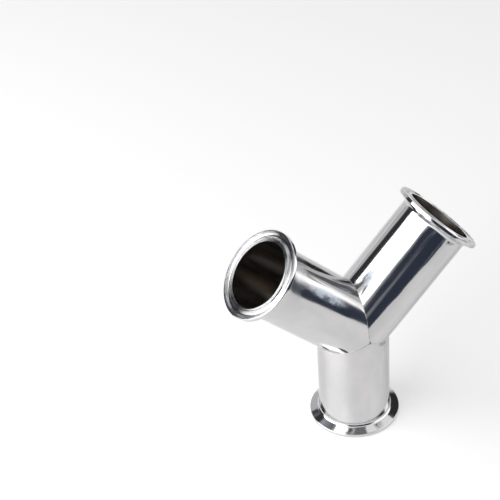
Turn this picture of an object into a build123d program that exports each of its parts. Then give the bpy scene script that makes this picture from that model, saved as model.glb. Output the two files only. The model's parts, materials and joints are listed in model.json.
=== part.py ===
from build123d import *

import os
from math import radians, sin, sqrt, tan

# Sanitary Y fitting: a stem and two branches of polished stainless tube, mitred together and
# welded, with a clamp ferrule butt-welded to each of the three ends. The welds are ground flush.
#
# Millimetres, +Z up. The origin is the centre of the stem ferrule's face, on which the fitting
# stands. The three tube axes lie in the XZ plane and meet at the junction, above the origin.

# Tube
tube_diameter = 50.8
tube_wall = 1.65

# Layout: each leg's length from the junction to its ferrule's face, and a branch's lean from +Z
stem_length = 79.0
branch_length = 96.5
branch_angle = 45.0

# Gasket groove, an arc turned into the ferrule's face
groove_radius = 2.34
groove_depth = 1.6

# Ferrule's face: the flat lip from the bore to the groove, and the flat land outside the groove.
# With the groove between them they make the flange 64 mm across, which is what the clamp takes.
lip_width = 2.2
land_width = 1.6

# Ferrule's back: a rim, a taper for the clamp to pull on, and a neck as thick as the tube
ferrule_length = 12.7
rim_thickness = 2.85
rim_front_fillet = 0.8
rim_back_fillet = 0.5
taper_angle = 20.0
neck_fillet = 2.5

tube_radius = tube_diameter / 2
bore_radius = tube_radius - tube_wall
groove_lift = groove_radius - groove_depth
groove_half_width = sqrt(groove_radius**2 - groove_lift**2)
groove_centre = bore_radius + lip_width + groove_half_width
flange_radius = groove_centre + groove_half_width + land_width
neck_depth = rim_thickness + (flange_radius - tube_radius) * tan(radians(taper_angle))

junction = Vector(0, 0, stem_length)
across = Vector(0, 1, 0)


def leaning(angle):
    """The direction in the XZ plane that leans from +Z towards +X by an angle."""
    return Vector(sin(radians(angle)), 0, sin(radians(90 - angle)))


# Each leg's direction away from the junction, and its length
legs = {
    "stem": (leaning(180), stem_length),
    "left": (leaning(-branch_angle), branch_length),
    "right": (leaning(branch_angle), branch_length),
}


def make_tube(leg):
    """A leg's tube, from its ferrule's neck to the mitres where it meets the two other tubes."""
    direction, length = legs[leg]
    other_directions = [way for name, (way, _) in legs.items() if name != leg]
    with BuildPart() as tube:
        with BuildSketch(Plane(junction, x_dir=across, z_dir=direction)):
            Circle(tube_radius)
            Circle(bore_radius, mode=Mode.SUBTRACT)
        extrude(amount=length - ferrule_length)
        for other in other_directions:
            # Two tubes of one size meet in the plane that halves the angle between them
            mitre = Plane(junction, x_dir=across, z_dir=direction - other)
            split(bisect_by=mitre, keep=Keep.TOP)
    tube.part.label = f"{leg}_tube"
    return tube.part


def make_ferrule(leg):
    """A leg's ferrule: its section, drawn from the face inwards, turned about the leg's axis."""
    direction, length = legs[leg]
    face_centre = junction + direction * length
    with BuildPart() as ferrule:
        with BuildSketch(Plane(face_centre, x_dir=across, z_dir=direction.cross(across))) as section:
            with BuildLine():
                Polyline(
                    (bore_radius, 0),
                    (flange_radius, 0),
                    (flange_radius, rim_thickness),
                    (tube_radius, neck_depth),
                    (tube_radius, ferrule_length),
                    (bore_radius, ferrule_length),
                    close=True,
                )
            make_face()
            with Locations((groove_centre, -groove_lift)):
                Circle(groove_radius, mode=Mode.SUBTRACT)
            for x, y, radius in (
                (flange_radius, 0, rim_front_fillet),
                (flange_radius, rim_thickness, rim_back_fillet),
                (tube_radius, neck_depth, neck_fillet),
            ):
                fillet(section.vertices().sort_by_distance((x, y))[0], radius)
        revolve(axis=Axis(face_centre, direction))
    ferrule.part.label = f"{leg}_ferrule"
    return ferrule.part


os.makedirs("parts", exist_ok=True)
for leg in legs:
    for piece in (make_tube(leg), make_ferrule(leg)):
        export_step(piece, f"parts/{piece.label}.step")
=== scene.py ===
import json
from math import acos, cos, pi, radians, sin, sqrt, tan

import bmesh
import bpy
from mathutils import Matrix, Vector


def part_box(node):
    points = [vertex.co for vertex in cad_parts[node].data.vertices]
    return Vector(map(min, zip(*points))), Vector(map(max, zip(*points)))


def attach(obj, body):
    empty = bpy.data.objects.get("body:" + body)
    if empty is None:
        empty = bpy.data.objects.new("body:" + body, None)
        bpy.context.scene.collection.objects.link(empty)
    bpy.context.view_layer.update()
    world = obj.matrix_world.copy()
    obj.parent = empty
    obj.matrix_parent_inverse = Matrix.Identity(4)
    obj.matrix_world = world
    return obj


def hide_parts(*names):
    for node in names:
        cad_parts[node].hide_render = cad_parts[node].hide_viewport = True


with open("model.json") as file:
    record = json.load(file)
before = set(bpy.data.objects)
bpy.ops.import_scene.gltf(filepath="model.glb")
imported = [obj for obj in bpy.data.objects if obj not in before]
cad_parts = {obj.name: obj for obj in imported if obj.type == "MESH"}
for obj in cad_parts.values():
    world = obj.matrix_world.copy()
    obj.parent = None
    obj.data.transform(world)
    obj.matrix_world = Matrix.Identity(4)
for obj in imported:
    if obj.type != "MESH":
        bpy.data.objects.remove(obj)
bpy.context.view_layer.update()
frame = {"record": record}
scene = bpy.context.scene
scene.view_settings.view_transform = "Standard"
mm = 0.001

# The fitting's layout, read from the frame: where the three axes meet, and how far each leg reaches
mounts = {mount["name"]: mount for mount in frame["record"]["mounts"]}
junction = Vector((0, 0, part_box("stem_tube")[1].z))
across = Vector((0, 1, 0))
legs = {}
for leg in ("stem", "left", "right"):
    outward = Vector(mounts[leg + "_bore"]["axis"]).normalized()
    facePoint = Vector(mounts[leg + "_face"]["pos_m"])
    legs[leg] = {"outward": outward, "length": (facePoint - junction).dot(outward)}

tube = {
    "radius": 25.4 * mm,
    "wall": 1.65 * mm,
    "sides": 256,
}

ferrule = {
    "length": 12.7 * mm,
    "rimThickness": 2.85 * mm,
    "taperAngle": radians(20),
    "lipWidth": 2.2 * mm,
    "landWidth": 1.6 * mm,
    "grooveRadius": 2.34 * mm,
    "grooveDepth": 1.6 * mm,
    "boreEdgeRadius": 0.2 * mm,
    "grooveEdgeRadius": 0.15 * mm,
    "rimFrontRadius": 0.8 * mm,
    "rimBackRadius": 0.5 * mm,
    "neckRadius": 2.5 * mm,
}


def legMatrix(leg):
    # Local Z runs out along the leg from the junction, and local Y stays across the fitting
    outward = legs[leg]["outward"]
    turned = Matrix((across.cross(outward), across, outward)).transposed().to_4x4()
    return Matrix.Translation(junction) @ turned


def markWall(bm, radius, materialIndex):
    # While the leg's axis is still local Z, a wall's faces are those with all their corners on its radius
    for face in bm.faces:
        if all(abs(Vector(vert.co.xy).length - radius) < 0.01 * mm for vert in face.verts):
            face.material_index = materialIndex


def finishPiece(name, bm, replaced):
    bmesh.ops.remove_doubles(bm, verts=bm.verts, dist=1e-7)
    bmesh.ops.recalc_face_normals(bm, faces=bm.faces)
    mesh = bpy.data.meshes.new(name)
    bm.to_mesh(mesh)
    bm.free()
    mesh.shade_smooth()
    mesh.set_sharp_from_angle(angle=radians(25))
    piece = bpy.data.objects.new(name, mesh)
    scene.collection.objects.link(piece)
    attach(piece, "root")
    if replaced:
        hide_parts(replaced)
    return piece


def turnSection(bm):
    # The section lies in the XZ plane, and one full turn about the leg's axis makes the ring
    bmesh.ops.spin(
        bm, geom=bm.verts[:] + bm.edges[:], cent=(0, 0, 0), axis=(0, 0, 1),
        angle=2 * pi, steps=tube["sides"], use_merge=True,
    )


def roundCorner(bm, corner, radius, turn):
    # A corner that turns by an angle has its arc's ends this far back along its two edges
    bmesh.ops.bevel(
        bm, geom=[corner], offset=radius * tan(turn / 2), segments=8, profile=0.5,
        affect="VERTICES", material=-1,
    )


def buildTube(leg):
    bm = bmesh.new()
    inner, outer = tube["radius"] - tube["wall"], tube["radius"]
    # It starts a little past the junction, so that the mitres cut all of its end away
    near, far = -0.1 * outer, legs[leg]["length"] - ferrule["length"]
    ends = [bm.verts.new((r, 0, z)) for r, z in ((inner, near), (outer, near), (outer, far), (inner, far))]
    for first, second in zip(ends, ends[1:] + ends[:1]):
        bm.edges.new((first, second))
    turnSection(bm)
    markWall(bm, inner, 1)
    bmesh.ops.transform(bm, matrix=legMatrix(leg), verts=bm.verts)
    outward = legs[leg]["outward"]
    for other in legs:
        if other != leg:
            bmesh.ops.bisect_plane(
                bm, geom=bm.verts[:] + bm.edges[:] + bm.faces[:], dist=1e-6, plane_co=junction,
                plane_no=(outward - legs[other]["outward"]).normalized(), clear_inner=True,
            )
    bmesh.ops.bridge_loops(bm, edges=[edge for edge in bm.edges if edge.is_boundary])
    return finishPiece(leg + "Tube", bm, leg + "_tube")


def buildFerrule(leg):
    bm = bmesh.new()
    face, size = legs[leg]["length"], ferrule
    bore, neck = tube["radius"] - tube["wall"], tube["radius"]
    lift = size["grooveRadius"] - size["grooveDepth"]
    halfWidth = sqrt(size["grooveRadius"] ** 2 - lift ** 2)
    groove = bore + size["lipWidth"] + halfWidth
    rim = groove + halfWidth + size["landWidth"]
    neckDepth = size["rimThickness"] + (rim - neck) * tan(size["taperAngle"])

    # The groove's arc, swung from its inner edge to its outer one about a centre above the face
    grooveInner = bm.verts.new((groove - halfWidth, 0, face))
    swung = bmesh.ops.spin(
        bm, geom=[grooveInner], cent=(groove, 0, face + lift), axis=(0, 1, 0),
        angle=-2 * acos(lift / size["grooveRadius"]), steps=24,
    )
    grooveOuter = swung["geom_last"][0]
    outline = [grooveOuter]
    for r, depth in (
        (rim, 0), (rim, size["rimThickness"]), (neck, neckDepth),
        (neck, size["length"]), (bore, size["length"]), (bore, 0),
    ):
        outline.append(bm.verts.new((r, 0, face - depth)))
    outline.append(grooveInner)
    for first, second in zip(outline, outline[1:]):
        bm.edges.new((first, second))

    rimFront, rimBack, neckCorner, boreEdge = outline[1], outline[2], outline[3], outline[6]
    taperTurn = pi / 2 - size["taperAngle"]
    grooveTurn = acos(lift / size["grooveRadius"])
    roundCorner(bm, rimFront, size["rimFrontRadius"], pi / 2)
    roundCorner(bm, rimBack, size["rimBackRadius"], taperTurn)
    roundCorner(bm, neckCorner, size["neckRadius"], taperTurn)
    roundCorner(bm, boreEdge, size["boreEdgeRadius"], pi / 2)
    for grooveEdge in (grooveInner, grooveOuter):
        roundCorner(bm, grooveEdge, size["grooveEdgeRadius"], grooveTurn)
    turnSection(bm)
    markWall(bm, bore, 1)
    markWall(bm, neck, 2)
    bmesh.ops.transform(bm, matrix=legMatrix(leg), verts=bm.verts)
    return finishPiece(leg + "Ferrule", bm, leg + "_ferrule")


tubes = [buildTube(leg) for leg in legs]
ferrules = [buildFerrule(leg) for leg in legs]
print("pieces turned and mitred")

# Ground weld beads along the three mitres
bead = {
    "width": 0.9 * mm,
    "height": 0.16 * mm,
    "sides": 16,
}


def buildBead(name, leg, other):
    bm = bmesh.new()
    bmesh.ops.create_circle(bm, segments=bead["sides"], radius=1)
    section = Matrix.Translation((tube["radius"], 0, 0)) @ Matrix.Rotation(pi / 2, 4, "X")
    section = section @ Matrix.Diagonal((bead["height"], bead["width"] / 2, 1, 1))
    bmesh.ops.transform(bm, matrix=section, verts=bm.verts)
    turnSection(bm)
    # Leaned over, the ring lies in the mitre, and the half of it on the outside of the fitting stays
    outward, otherWay = legs[leg]["outward"], legs[other]["outward"]
    towards = (otherWay - outward * otherWay.dot(outward)).normalized()
    side = 1 if towards.dot(across.cross(outward)) > 0 else -1
    lean = (otherWay + outward).normalized().angle(outward)
    for vert in bm.verts:
        vert.co.z += side * vert.co.x / tan(lean)
    bmesh.ops.bisect_plane(
        bm, geom=bm.verts[:] + bm.edges[:] + bm.faces[:], dist=1e-7, plane_co=(0, 0, 0),
        plane_no=(side, 0, 0), clear_inner=True,
    )
    bmesh.ops.holes_fill(bm, edges=[edge for edge in bm.edges if edge.is_boundary], sides=0)
    bmesh.ops.transform(bm, matrix=legMatrix(leg), verts=bm.verts)
    return finishPiece(name, bm, None)


beads = [
    buildBead("branchBead", "left", "right"),
    buildBead("leftBead", "left", "stem"),
    buildBead("rightBead", "right", "stem"),
]
print("mitres welded and ground")

# Finishes: one material for each leg, because the polish follows the leg's own axis
tubeFinish = {
    "colour": (0.62, 0.62, 0.627, 1),
    "haze": (0.68, 0.665, 0.665, 1),
    "grease": (0.55, 0.6, 0.68, 1),
    "stainAndShade": (0.03, 0.028, 0.027, 1),
    "roughness": 0.09,
    "smudge": 0.24,
    "brushing": 0.4,
    "grainDepth": 0.004 * mm,
    "waveDepth": 0.3 * mm,
}

# Dark marks on the steel: pits, dark spots along the weld toes and on the right neck, and painted shade on the stem
# under the right leg's seam (stemShade).
# Each runs from one point to another on the steel, fades out over its width, and is as strong as its last number says.
stainsAndShade = {
    "leftTubeToe": ("left", (-21.5, -21.2, 80.8), (-14.2, -21.3, 73.6), 1.3, 1.0),
    "leftTubeDash": ("left", (-30.4, -15.4, 80.9), (-27.0, -15.2, 77.2), 1.8, 1.0),
    "leftTubeDot": ("left", (-9.0, -24.0, 75.6), (-7.6, -24.3, 75.4), 0.8, 0.7),
    "stemShade": ("stem", (9.5, -23.4, 74.2), (13.6, -21.5, 72.0), 3.0, 0.4),
    "neckShade": ("right", (60.2, -25.3, 142.9), (66.6, -25.3, 141.2), 2.2, 0.45),
    "junctionEnd": ("right", (0.2, -25.4, 81.0), (0.4, -25.4, 79.0), 0.8, 0.9),
    "neckPit": ("right", (60.5, -25.3, 143.7), (60.9, -25.3, 143.3), 1.0, 1.0),
}

smudges = {
    "leftBandPatch": ("left", (-42.0, -20.6, 141.4), (-15.0, -20.8, 114.5), 4.4, 1.0),
    "crotchPatch": ("right", (4.5, -9.6, 118.0), (13.6, -9.2, 126.6), 3.6, 1.0),
    "rightTopPatch": ("right", (44.0, -4.5, 156.0), (37.5, -6.0, 151.0), 4.0, 0.8),
}

# Where the abrasive went round the left leg to blend in its butt weld, measured from the junction
blendedEnd = {"leg": "left", "from": 75 * mm, "to": 79 * mm, "smudge": 0.1}

ferruleFinish = {
    "colour": (0.66, 0.66, 0.665, 1),
    "faceRoughness": 0.09,
    "backRoughness": 0.08,
    "scratchRoughness": 0.22,
    "turning": 1.0,
    "backTurning": 0.5,
    "turningDepth": 0.006 * mm,
    "ringDepth": 0.3 * mm,
}

# The bore's base colour is darker than the outside steel: painted shade inside the tube. Its brown bands run along the
# bore, and its higher roughness is its duller finish.
shadedBoreFinish = {
    "colour": (0.39, 0.385, 0.375, 1),
    "brownBands": (0.43, 0.37, 0.325, 1),
    "roughness": 0.21,
    "scoringDepth": 0.012 * mm,
}

weldFinish = {
    "colour": (0.6, 0.59, 0.58, 1),
    "oxide": (0.1, 0.09, 0.085, 1),
    "roughness": 0.26,
    "rippleDepth": 0.05 * mm,
}


def newMaterial(name):
    material = bpy.data.materials.new(name)
    material.use_nodes = True
    nodes = material.node_tree.nodes
    return material, nodes, material.node_tree.links, nodes["Principled BSDF"]


def legCoordinates(nodes, links, leg):
    # Object coordinates turned so that Z runs along the leg, as millimetres from the junction
    coordinates = nodes.new("ShaderNodeTexCoord")
    mapping = nodes.new("ShaderNodeMapping")
    turned = legMatrix(leg).inverted()
    mapping.inputs["Rotation"].default_value = turned.to_euler()
    mapping.inputs["Location"].default_value = turned.translation
    links.new(coordinates.outputs["Object"], mapping.inputs["Vector"])
    return mapping.outputs["Vector"]


def stretched(nodes, links, vector, scale):
    mapping = nodes.new("ShaderNodeMapping")
    mapping.inputs["Scale"].default_value = scale
    links.new(vector, mapping.inputs["Vector"])
    return mapping.outputs["Vector"]


def noise(nodes, links, vector, detail=4, roughness=0.6):
    texture = nodes.new("ShaderNodeTexNoise")
    texture.inputs["Scale"].default_value = 1
    texture.inputs["Detail"].default_value = detail
    texture.inputs["Roughness"].default_value = roughness
    links.new(vector, texture.inputs["Vector"])
    return texture.outputs["Fac"]


def mapped(nodes, links, value, fromLow, fromHigh, toLow, toHigh):
    remap = nodes.new("ShaderNodeMapRange")
    for name, number in (
        ("From Min", fromLow), ("From Max", fromHigh), ("To Min", toLow), ("To Max", toHigh),
    ):
        remap.inputs[name].default_value = number
    links.new(value, remap.inputs["Value"])
    return remap.outputs["Result"]


def combined(nodes, links, operation, first, second):
    node = nodes.new("ShaderNodeMath")
    node.operation = operation
    for socket, value in zip(node.inputs, (first, second)):
        if isinstance(value, (int, float)):
            socket.default_value = value
        else:
            links.new(value, socket)
    return node.outputs[0]


def axisDistance(nodes, links, vector):
    flat = stretched(nodes, links, vector, (1, 1, 0))
    length = nodes.new("ShaderNodeVectorMath")
    length.operation = "LENGTH"
    links.new(flat, length.inputs[0])
    return length.outputs["Value"]


def blended(nodes, links, factor, first, second):
    mix = nodes.new("ShaderNodeMix")
    mix.data_type = "RGBA"
    for name, value in (("Factor", factor), ("A", first), ("B", second)):
        if isinstance(value, bpy.types.NodeSocket):
            links.new(value, mix.inputs[name])
        else:
            mix.inputs[name].default_value = value
    return mix.outputs["Result"]


def markedAt(nodes, links, marks, leg):
    # The strongest of a leg's marks at each point, from 0 to 1
    coordinates = nodes.new("ShaderNodeTexCoord").outputs["Object"]
    strongest = 0
    for where, start, end, width, strength in marks.values():
        if where != leg:
            continue
        start, end = Vector(start) * mm, Vector(end) * mm
        along = nodes.new("ShaderNodeMapping")
        along.vector_type = "TEXTURE"
        along.inputs["Location"].default_value = (start + end) / 2
        along.inputs["Rotation"].default_value = (end - start).to_track_quat("X", "Z").to_euler()
        along.inputs["Scale"].default_value = ((end - start).length / 2 + width * mm, width * mm, width * mm)
        links.new(coordinates, along.inputs["Vector"])
        reach = nodes.new("ShaderNodeVectorMath")
        reach.operation = "LENGTH"
        links.new(along.outputs["Vector"], reach.inputs[0])
        strongest = combined(
            nodes, links, "MAXIMUM", mapped(nodes, links, reach.outputs["Value"], 1, 0.5, 0, strength), strongest,
        )
    return strongest


def bumped(nodes, links, height, depth, under=None):
    bump = nodes.new("ShaderNodeBump")
    bump.inputs["Distance"].default_value = depth
    links.new(height, bump.inputs["Height"])
    if under:
        links.new(under, bump.inputs["Normal"])
    return bump.outputs["Normal"]


def brushedRound(nodes, links, shader, leg, amount):
    # Abrasive and cutting tool both went round the leg, so highlights stretch across that direction
    geometry = nodes.new("ShaderNodeTexCoord")
    offset = nodes.new("ShaderNodeVectorMath")
    offset.operation = "SUBTRACT"
    offset.inputs[1].default_value = junction
    links.new(geometry.outputs["Object"], offset.inputs[0])
    around = nodes.new("ShaderNodeVectorMath")
    around.operation = "CROSS_PRODUCT"
    around.inputs[0].default_value = legs[leg]["outward"]
    links.new(offset.outputs[0], around.inputs[1])
    links.new(around.outputs[0], shader.inputs["Tangent"])
    if isinstance(amount, bpy.types.NodeSocket):
        links.new(amount, shader.inputs["Anisotropic"])
    else:
        shader.inputs["Anisotropic"].default_value = amount
    shader.inputs["Anisotropic Rotation"].default_value = 0.25


def polishedTube(leg):
    material, nodes, links, shader = newMaterial(leg + "PolishedTube")
    along = legCoordinates(nodes, links, leg)
    streaks = noise(nodes, links, stretched(nodes, links, along, (1800, 1800, 45)), 5)
    blotches = noise(nodes, links, stretched(nodes, links, along, (90, 90, 40)), 3)
    waves = noise(nodes, links, stretched(nodes, links, along, (38, 38, 24)), 2)
    roughness = combined(
        nodes, links, "ADD",
        mapped(nodes, links, streaks, 0.3, 0.7, -0.02, 0.02),
        mapped(nodes, links, blotches, 0.3, 0.7, tubeFinish["roughness"] - 0.03, tubeFinish["roughness"] + 0.04),
    )
    # Greasy patches have ragged edges, and the blended end of a leg is rougher all round
    patches = noise(nodes, links, stretched(nodes, links, along, (260, 260, 160)), 3)
    smudged = combined(
        nodes, links, "MULTIPLY", markedAt(nodes, links, smudges, leg), mapped(nodes, links, patches, 0.35, 0.6, 0.3, 1),
    )
    roughness = combined(
        nodes, links, "ADD", roughness, combined(nodes, links, "MULTIPLY", smudged, tubeFinish["smudge"]),
    )
    if leg == blendedEnd["leg"]:
        split = nodes.new("ShaderNodeSeparateXYZ")
        links.new(along, split.inputs[0])
        edge = combined(nodes, links, "ADD", split.outputs["Z"], mapped(nodes, links, patches, 0, 1, -4 * mm, 4 * mm))
        ground = mapped(nodes, links, edge, blendedEnd["from"], blendedEnd["to"], 0, blendedEnd["smudge"])
        roughness = combined(nodes, links, "ADD", roughness, ground)
    links.new(roughness, shader.inputs["Roughness"])
    haze = noise(nodes, links, stretched(nodes, links, along, (60, 60, 35)), 2)
    steel = blended(
        nodes, links, mapped(nodes, links, haze, 0.4, 0.62, 0, 1), tubeFinish["colour"], tubeFinish["haze"],
    )
    steel = blended(nodes, links, smudged, steel, tubeFinish["grease"])
    # The dark marks, and the painted shade of stemShade under the right seam, darken the base colour
    stainedAndShaded = blended(nodes, links, markedAt(nodes, links, stainsAndShade, leg), steel, tubeFinish["stainAndShade"])
    links.new(stainedAndShaded, shader.inputs["Base Color"])
    shader.inputs["Metallic"].default_value = 1
    wavy = bumped(nodes, links, waves, tubeFinish["waveDepth"])
    links.new(bumped(nodes, links, streaks, tubeFinish["grainDepth"], wavy), shader.inputs["Normal"])
    brushedRound(nodes, links, shader, leg, tubeFinish["brushing"])
    return material


def turnedFerrule(leg):
    material, nodes, links, shader = newMaterial(leg + "TurnedFerrule")
    along = legCoordinates(nodes, links, leg)
    # Concentric tool marks: noise over the radius and the depth, the same all the way round
    split = nodes.new("ShaderNodeSeparateXYZ")
    links.new(along, split.inputs[0])
    ring = nodes.new("ShaderNodeCombineXYZ")
    radius = axisDistance(nodes, links, along)
    links.new(radius, ring.inputs["X"])
    links.new(split.outputs["Z"], ring.inputs["Z"])
    marks = noise(nodes, links, stretched(nodes, links, ring.outputs[0], (3000, 1, 3000)), 3)
    blotches = noise(nodes, links, stretched(nodes, links, along, (120, 120, 120)), 3)
    # The face is left rougher than the rim and its taper, which are polished brighter
    top = legs[leg]["length"]
    onFace = combined(
        nodes, links, "MULTIPLY",
        mapped(nodes, links, split.outputs["Z"], top - 2 * mm, top - 1.2 * mm, 0, 1),
        mapped(nodes, links, radius, 31.1 * mm, 31.5 * mm, 1, 0),
    )
    byDepth = mapped(nodes, links, onFace, 0, 1, ferruleFinish["backRoughness"], ferruleFinish["faceRoughness"])
    variation = combined(
        nodes, links, "ADD",
        mapped(nodes, links, marks, 0.3, 0.7, -0.02, 0.02), mapped(nodes, links, blotches, 0.3, 0.7, -0.02, 0.02),
    )
    # Coarser scratches on the face run part of the way round
    drift = noise(nodes, links, stretched(nodes, links, along, (55, 55, 55)), 1)
    arcs = nodes.new("ShaderNodeCombineXYZ")
    links.new(radius, arcs.inputs["X"])
    links.new(drift, arcs.inputs["Y"])
    scratches = noise(nodes, links, stretched(nodes, links, arcs.outputs[0], (2300, 14, 1)), 2)
    scratched = combined(
        nodes, links, "MULTIPLY", onFace,
        mapped(nodes, links, scratches, 0.52, 0.6, 0, ferruleFinish["scratchRoughness"]),
    )
    variation = combined(nodes, links, "ADD", variation, scratched)
    links.new(combined(nodes, links, "ADD", byDepth, variation), shader.inputs["Roughness"])
    shader.inputs["Base Color"].default_value = ferruleFinish["colour"]
    shader.inputs["Metallic"].default_value = 1
    rings = noise(nodes, links, stretched(nodes, links, ring.outputs[0], (1100, 1, 1100)), 2)
    ringed = bumped(nodes, links, combined(nodes, links, "MULTIPLY", rings, onFace), ferruleFinish["ringDepth"])
    links.new(bumped(nodes, links, marks, ferruleFinish["turningDepth"], ringed), shader.inputs["Normal"])
    turning = mapped(nodes, links, onFace, 0, 1, ferruleFinish["backTurning"], ferruleFinish["turning"])
    brushedRound(nodes, links, shader, leg, turning)
    return material


def dullShadedBore(leg):
    material, nodes, links, shader = newMaterial(leg + "DullShadedBore")
    along = legCoordinates(nodes, links, leg)
    scores = noise(nodes, links, stretched(nodes, links, along, (180, 180, 9)), 2)
    links.new(
        mapped(nodes, links, scores, 0.3, 0.7, shadedBoreFinish["roughness"] - 0.05, shadedBoreFinish["roughness"] + 0.06),
        shader.inputs["Roughness"],
    )
    # Brown bands along the bore over a darkened base colour, which is painted shade inside the tube
    brownBands = noise(nodes, links, stretched(nodes, links, along, (110, 110, 7)), 1)
    links.new(
        blended(
            nodes, links, mapped(nodes, links, brownBands, 0.45, 0.6, 0, 1), shadedBoreFinish["colour"], shadedBoreFinish["brownBands"],
        ),
        shader.inputs["Base Color"],
    )
    shader.inputs["Metallic"].default_value = 1
    links.new(bumped(nodes, links, scores, shadedBoreFinish["scoringDepth"]), shader.inputs["Normal"])
    return material


def groundWeld():
    material, nodes, links, shader = newMaterial("groundWeld")
    coordinates = nodes.new("ShaderNodeTexCoord").outputs["Object"]
    ripples = noise(nodes, links, stretched(nodes, links, coordinates, (900, 900, 900)), 3)
    links.new(
        mapped(nodes, links, ripples, 0.3, 0.7, weldFinish["roughness"] - 0.06, weldFinish["roughness"] + 0.08),
        shader.inputs["Roughness"],
    )
    # Dark oxide is left here and there along the toe of the weld
    spots = noise(nodes, links, stretched(nodes, links, coordinates, (170, 170, 170)), 2)
    links.new(
        blended(
            nodes, links, mapped(nodes, links, spots, 0.54, 0.66, 0, 1), weldFinish["colour"], weldFinish["oxide"],
        ),
        shader.inputs["Base Color"],
    )
    shader.inputs["Metallic"].default_value = 1
    links.new(bumped(nodes, links, ripples, weldFinish["rippleDepth"]), shader.inputs["Normal"])
    return material


for leg, pieceOfTube, pieceOfFerrule in zip(legs, tubes, ferrules):
    # The neck was polished together with the tube
    polished, bore = polishedTube(leg), dullShadedBore(leg)
    for piece, finishes in ((pieceOfTube, (polished, bore)), (pieceOfFerrule, (turnedFerrule(leg), bore, polished))):
        for finish in finishes:
            piece.data.materials.append(finish)
weld = groundWeld()
for piece in beads:
    piece.data.materials.append(weld)
print("steel polished and turned")

# Studio: a pale floor, a white surround, two soft lamps, and the dark openings that the steel mirrors
studio = {
    "floorSize": 12,
    "floorColour": (0.82, 0.82, 0.82, 1),
    "floorSheen": 0.18,
    "sheenRoughness": 0.5,
    "cameraLift": 0.4,
    "farLift": 0.76,
    "farFrom": 0.9,
    "farTo": 1.5,
    "steelLift": 0.32,
    "worldLevel": 0.3,
}

# Azimuths in degrees from the fitting's front (-Y) towards its right branch (+X), sizes in metres
softLamps = {
    "leftLamp": {"azimuth": -90, "elevation": 28, "distance": 1.2, "width": 1.7, "height": 1.0, "power": 17},
    "rightLamp": {"azimuth": 64, "elevation": 19, "distance": 1.2, "width": 1.35, "height": 0.78, "power": 2.7},
}

# Each may start on the floor at its foot, stands up at its reach and may lean round as it rises.
# Its sides fade out over an angle.
mirrored = {
    "frontOpening": {
        "from": -54, "to": 30, "fade": 14, "foot": 0.4, "reach": 0.9, "low": 0, "high": 0.8, "lean": 0,
        "colour": (0.036, 0.046, 0.07, 1),
    },
    "rightSill": {
        "from": 6, "to": 76, "fade": 8, "foot": 0.39, "reach": 0.9, "low": 0, "high": 0.13, "lean": 0,
        "colour": (0.036, 0.046, 0.07, 1),
    },
    "cameraStand": {
        "from": -30, "to": -18, "fade": 4, "foot": None, "reach": 0.88, "low": 0.12, "high": 0.29, "lean": 0,
        "colour": (0.26, 0.26, 0.29, 1),
    },
    "cameraPost": {
        "from": -28, "to": -21, "fade": 3, "foot": None, "reach": 0.88, "low": 0.29, "high": 0.8, "lean": 0,
        "colour": (0.1, 0.11, 0.14, 1),
    },
    "leftOpening": {
        "from": -153, "to": -119, "fade": 6, "foot": 0.12, "reach": 0.9, "low": 0, "high": 1.4, "lean": -28,
        "colour": (0.04, 0.04, 0.045, 1),
    },
    "leftHood": {
        "from": -150, "to": -92, "fade": 8, "foot": None, "reach": 0.86, "low": 1.2, "high": 2.0, "lean": 0,
        "colour": (0.16, 0.16, 0.17, 1),
    },
    "backOpening": {
        "from": -194, "to": -156, "fade": 4, "foot": None, "reach": 0.88, "low": 0.6, "high": 1.1, "lean": 0,
        "colour": (0.06, 0.065, 0.08, 1),
    },
    "backWall": {
        "from": -200, "to": -150, "fade": 6, "foot": None, "reach": 0.93, "low": 0.2, "high": 0.75, "lean": 0,
        "colour": (0.6, 0.6, 0.61, 1),
    },
    "backHaze": {
        "from": -190, "to": -140, "fade": 5, "foot": None, "reach": 0.86, "low": 1.05, "high": 1.8, "lean": 0,
        "colour": (0.38, 0.4, 0.45, 1),
    },
    # rightShade is a pale grey sheet on the floor that only the steel sees: a painted shadow of the fitting on the
    # right side of the floor
    "rightShade": {
        "from": 70, "to": 150, "fade": 20, "foot": 0.045, "reach": 0.24, "low": 0, "high": 0.001, "lean": 0,
        "colour": (0.66, 0.66, 0.67, 1),
    },
    "rightOpening": {
        "from": 97, "to": 133, "fade": 5, "foot": None, "reach": 0.9, "low": 0, "high": 0.95, "lean": 0,
        "colour": (0.03, 0.03, 0.032, 1),
    },
}

# The slot overhead, longer from front to back, and the right side of the floor, which is in the fitting's shade
topOpening = {"centre": (0.02, -0.1), "width": 0.34, "length": 0.8, "above": 0.95, "colour": (0.2, 0.2, 0.21, 1)}


def seenDirectly(nodes, links, byCamera, inSteel):
    # One level for the rays of the camera, and one for reflections and for rays through glass
    path = nodes.new("ShaderNodeLightPath")
    mirroredRay = combined(
        nodes, links, "MAXIMUM", path.outputs["Is Glossy Ray"], path.outputs["Is Transmission Ray"],
    )
    return combined(
        nodes, links, "MAXIMUM",
        combined(nodes, links, "MULTIPLY", path.outputs["Is Camera Ray"], byCamera),
        combined(nodes, links, "MULTIPLY", mirroredRay, inSteel),
    )


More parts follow.
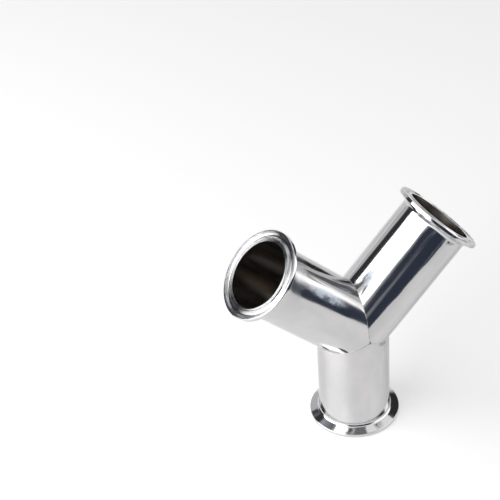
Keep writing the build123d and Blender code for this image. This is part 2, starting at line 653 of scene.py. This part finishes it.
def layFloor():
    bm = bmesh.new()
    bmesh.ops.create_grid(bm, x_segments=1, y_segments=1, size=studio["floorSize"] / 2)
    mesh = bpy.data.meshes.new("floor")
    bm.to_mesh(mesh)
    bm.free()
    floor = bpy.data.objects.new("floor", mesh)
    scene.collection.objects.link(floor)
    material, nodes, links, shader = newMaterial("paleFloor")
    shader.inputs["Base Color"].default_value = studio["floorColour"]
    shader.inputs["Roughness"].default_value = 1
    shader.inputs["Specular IOR Level"].default_value = 0
    shader.inputs["Emission Color"].default_value = (1, 1, 1, 1)
    # Past the lamps the camera sees the floor as white as the surround
    reach = axisDistance(nodes, links, nodes.new("ShaderNodeTexCoord").outputs["Object"])
    byCamera = mapped(nodes, links, reach, studio["farFrom"], studio["farTo"], studio["cameraLift"], studio["farLift"])
    lift = seenDirectly(nodes, links, byCamera, studio["steelLift"])
    links.new(lift, shader.inputs["Emission Strength"])
    # The steel also picks up the floor's sheen, which mirrors the lamps
    sheen = nodes.new("ShaderNodeBsdfGlossy")
    sheen.inputs["Roughness"].default_value = studio["sheenRoughness"]
    mix = nodes.new("ShaderNodeMixShader")
    links.new(seenDirectly(nodes, links, 0, studio["floorSheen"]), mix.inputs["Fac"])
    links.new(shader.outputs[0], mix.inputs[1])
    links.new(sheen.outputs[0], mix.inputs[2])
    links.new(mix.outputs[0], nodes["Material Output"].inputs["Surface"])
    mesh.materials.append(material)


def lightWorld():
    world = bpy.data.worlds.new("studio")
    scene.world = world
    world.use_nodes = True
    nodes, links = world.node_tree.nodes, world.node_tree.links
    # Found by the rays themselves and never sampled past the cards, so that the openings stay dark
    world.cycles.sampling_method = "NONE"
    background = nodes["Background"]
    background.inputs["Color"].default_value = (1, 1, 1, 1)
    level = mapped(nodes, links, seenDirectly(nodes, links, 1, 1), 0, 1, studio["worldLevel"], 1)
    links.new(level, background.inputs["Strength"])


def hangLamp(name):
    size = softLamps[name]
    data = bpy.data.lights.new(name, "AREA")
    data.shape = "RECTANGLE"
    data.size, data.size_y, data.energy = size["width"], size["height"], size["power"]
    lamp = bpy.data.objects.new(name, data)
    scene.collection.objects.link(lamp)
    azimuth, elevation = radians(size["azimuth"]), radians(size["elevation"])
    towards = Vector((sin(azimuth) * cos(elevation), -cos(azimuth) * cos(elevation), sin(elevation)))
    lamp.location = junction + towards * size["distance"]
    lamp.rotation_euler = towards.to_track_quat("Z", "Y").to_euler()


def placeCard(name, bm, colour):
    # A card that only the steel sees, so that it takes no light from the floor
    mesh = bpy.data.meshes.new(name)
    bm.to_mesh(mesh)
    bm.free()
    card = bpy.data.objects.new(name, mesh)
    scene.collection.objects.link(card)
    card.visible_camera = card.visible_diffuse = card.visible_shadow = card.visible_transmission = False
    material = bpy.data.materials.new(name)
    material.use_nodes = True
    nodes, links = material.node_tree.nodes, material.node_tree.links
    nodes.remove(nodes["Principled BSDF"])
    glow = nodes.new("ShaderNodeEmission")
    glow.inputs["Color"].default_value = colour
    fade = nodes.new("ShaderNodeAttribute")
    fade.attribute_name = "fade"
    mix = nodes.new("ShaderNodeMixShader")
    links.new(fade.outputs["Fac"], mix.inputs["Fac"])
    links.new(glow.outputs[0], mix.inputs[1])
    links.new(nodes.new("ShaderNodeBsdfTransparent").outputs[0], mix.inputs[2])
    links.new(mix.outputs[0], nodes["Material Output"].inputs["Surface"])
    mesh.materials.append(material)


def standOpening(name):
    size = mirrored[name]
    profile = [(size["foot"], 0, 0)] if size["foot"] else []
    for step in range(9):
        rise = step / 8
        profile.append((size["reach"], size["low"] + (size["high"] - size["low"]) * rise, size["lean"] * rise ** 2))
    bm = bmesh.new()
    fade = bm.verts.layers.float.new("fade")
    chain = []
    for reach, height, lean in profile:
        azimuth = radians(size["from"] + lean)
        chain.append(bm.verts.new((reach * sin(azimuth), -reach * cos(azimuth), height + 1 * mm)))
    edges = [bm.edges.new(pair) for pair in zip(chain, chain[1:])]
    # Swept round a few degrees at a time, so that each step's points can be given their own fade
    span, steps = size["to"] - size["from"], 40
    row = chain + edges
    for vert in chain:
        vert[fade] = 1
    for step in range(1, steps + 1):
        swept = bmesh.ops.spin(
            bm, geom=row, cent=(0, 0, 0), axis=(0, 0, 1), angle=radians(span / steps), steps=1,
        )
        row = swept["geom_last"]
        inside = min(step, steps - step) * span / steps
        for item in row:
            if isinstance(item, bmesh.types.BMVert):
                item[fade] = max(0, 1 - inside / size["fade"])
    placeCard(name, bm, size["colour"])


def hangTopOpening():
    bm = bmesh.new()
    bmesh.ops.create_grid(bm, x_segments=1, y_segments=1, size=0.5)
    bmesh.ops.scale(bm, vec=(topOpening["width"], topOpening["length"], 1), verts=bm.verts)
    bmesh.ops.translate(bm, vec=(*topOpening["centre"], topOpening["above"]), verts=bm.verts)
    placeCard("topOpening", bm, topOpening["colour"])


layFloor()
lightWorld()
for name in softLamps:
    hangLamp(name)
for name in mirrored:
    standOpening(name)
hangTopOpening()
print("studio set")

view = {
    "azimuth": radians(-22.03),
    "elevation": radians(36.76),
    "roll": radians(-4.10),
    "distance": 1118.8 * mm,
    "right": -71.2 * mm,
    "up": 50.8 * mm,
    "lens": 115.9,
}


def placeCamera():
    camera = bpy.data.objects.new("camera", bpy.data.cameras.new("camera"))
    scene.collection.objects.link(camera)
    scene.camera = camera
    camera.data.lens = view["lens"]
    camera.data.sensor_width = 36
    azimuth, elevation = view["azimuth"], view["elevation"]
    back = Vector((sin(azimuth) * cos(elevation), -cos(azimuth) * cos(elevation), sin(elevation)))
    right = Vector((cos(azimuth), sin(azimuth), 0))
    turned = Matrix((right, back.cross(right), back)).transposed() @ Matrix.Rotation(view["roll"], 3, "Z")
    offset = Vector((view["right"], view["up"], view["distance"]))
    camera.matrix_world = Matrix.Translation(junction + turned @ offset) @ turned.to_4x4()


placeCamera()
